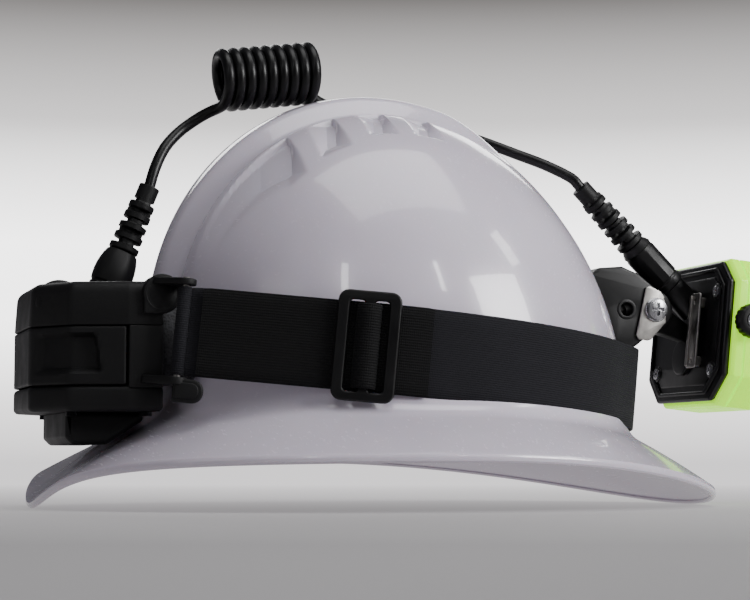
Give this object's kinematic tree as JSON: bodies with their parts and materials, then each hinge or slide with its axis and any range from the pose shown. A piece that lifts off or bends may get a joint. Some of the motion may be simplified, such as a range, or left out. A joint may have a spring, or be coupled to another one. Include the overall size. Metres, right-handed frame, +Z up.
{
  "type": "miner's cap lamp",
  "caption": "Cap lamp strapped round a full-brim hard hat: tilting headlamp on a bracket, rear battery pack and a coiled cord over the crown.",
  "frame": {"origin": "middle of the lamp and hat's outline without the cord, on the surface that the brim's tips stand on", "axes": "+X forwards, the way the lamp shines; +Y to the wearer's left; +Z up"},
  "size_m": [0.3718, 0.284, 0.2198],
  "materials": {
    "hat_plastic": "glossy moulded",
    "web_plastic": "moulded and woven",
    "key_plastic": "satin moulded",
    "pad_foam": "foam backed cloth",
    "strap_elastic": "woven elastic",
    "strap_inner": "woven elastic",
    "slider_plastic": "satin moulded",
    "steel": "plated",
    "black_housing": "fine textured",
    "seal_rubber": "matt",
    "lime_plastic": "glossy moulded",
    "lens_clear": "clear",
    "bright_reflector": "metallised",
    "board_green": "solder mask",
    "sink_aluminium": "cast",
    "boot_rubber": "satin moulded",
    "cell_wrap": "shrink wrapped",
    "contact_brass": "plated",
    "cord_sheath": "glossy sheath"
  },
  "bodies": {
    "hat": {"hat_shell": "hat_plastic", "headband": "web_plastic", "brow_pad": "pad_foam", "crown_straps": "web_plastic", "suspension_keys": "key_plastic", "nape_strap": "web_plastic", "adjuster_housing": "key_plastic", "strap_band": "strap_inner", "strap_layer_near": "strap_elastic", "strap_layer_far": "strap_elastic", "strap_pins": "steel", "side_arms": "black_housing", "lamp_bracket": "black_housing", "bracket_plates": "steel", "pivot_screw": "steel", "pivot_nut": "steel", "pack_base": "black_housing", "pack_bottom_cover": "black_housing", "dock_housing": "black_housing", "charge_contacts": "contact_brass", "pack_upper_housing": "black_housing", "bay_roof": "key_plastic", "control_board": "board_green", "pack_screws": "steel", "back_pads": "pad_foam", "rear_gland": "boot_rubber", "rear_boot": "boot_rubber", "cord_rear": "cord_sheath", "cord_coil": "cord_sheath", "cord_front": "cord_sheath"},
    "lamp": {"lamp_rear_cover": "black_housing", "lamp_gasket": "seal_rubber", "lamp_shell": "lime_plastic", "lens_bezel": "black_housing", "lens": "lens_clear", "reflector": "bright_reflector", "led_module": "board_green", "heat_sink": "sink_aluminium", "driver_board": "board_green", "cover_screws": "steel", "cover_clip": "steel", "switch_module": "key_plastic", "front_gland": "boot_rubber", "front_boot": "boot_rubber"},
    "knob": {"side_knob": "black_housing", "knob_cap": "steel"},
    "battery": {"battery_door": "black_housing", "battery_tray": "key_plastic", "battery_cells": "cell_wrap", "battery_contacts": "contact_brass"},
    "near_slider": {"slider_near": "slider_plastic", "slider_loop_near": "strap_elastic"},
    "far_slider": {"slider_far": "slider_plastic", "slider_loop_far": "strap_elastic"},
    "size_knob": {"adjuster_knob": "key_plastic"}
  },
  "joints": [
    {"name": "lamp_tilt", "type": "hinge", "parent": "hat", "child": "lamp", "pos_m": [0.11963, 0, 0.0945], "axis": [0, 1, 0], "range_deg": [-15, 30], "deforming": ["cord_front"]},
    {"name": "side_knob_turn", "type": "hinge", "parent": "lamp", "child": "knob", "pos_m": [0.15512, -0.042, 0.08775], "axis": [0, -1, 0], "range_deg": [0, 90]},
    {"name": "battery_slide", "type": "slide", "parent": "hat", "child": "battery", "axis": [-1, 0, 0], "range_m": [0, 0.045]},
    {"name": "near_slider_travel", "type": "slide", "parent": "hat", "child": "near_slider", "axis": [-0.9365, 0.339, 0.0902], "range_m": [0, 0.02]},
    {"name": "far_slider_travel", "type": "slide", "parent": "hat", "child": "far_slider", "axis": [-0.9365, -0.339, 0.0902], "range_m": [0, 0.02]},
    {"name": "size_knob_turn", "type": "hinge", "parent": "hat", "child": "size_knob", "pos_m": [-0.10817, 0, 0.035], "axis": [-1, 0, 0], "continuous": true}
  ]
}
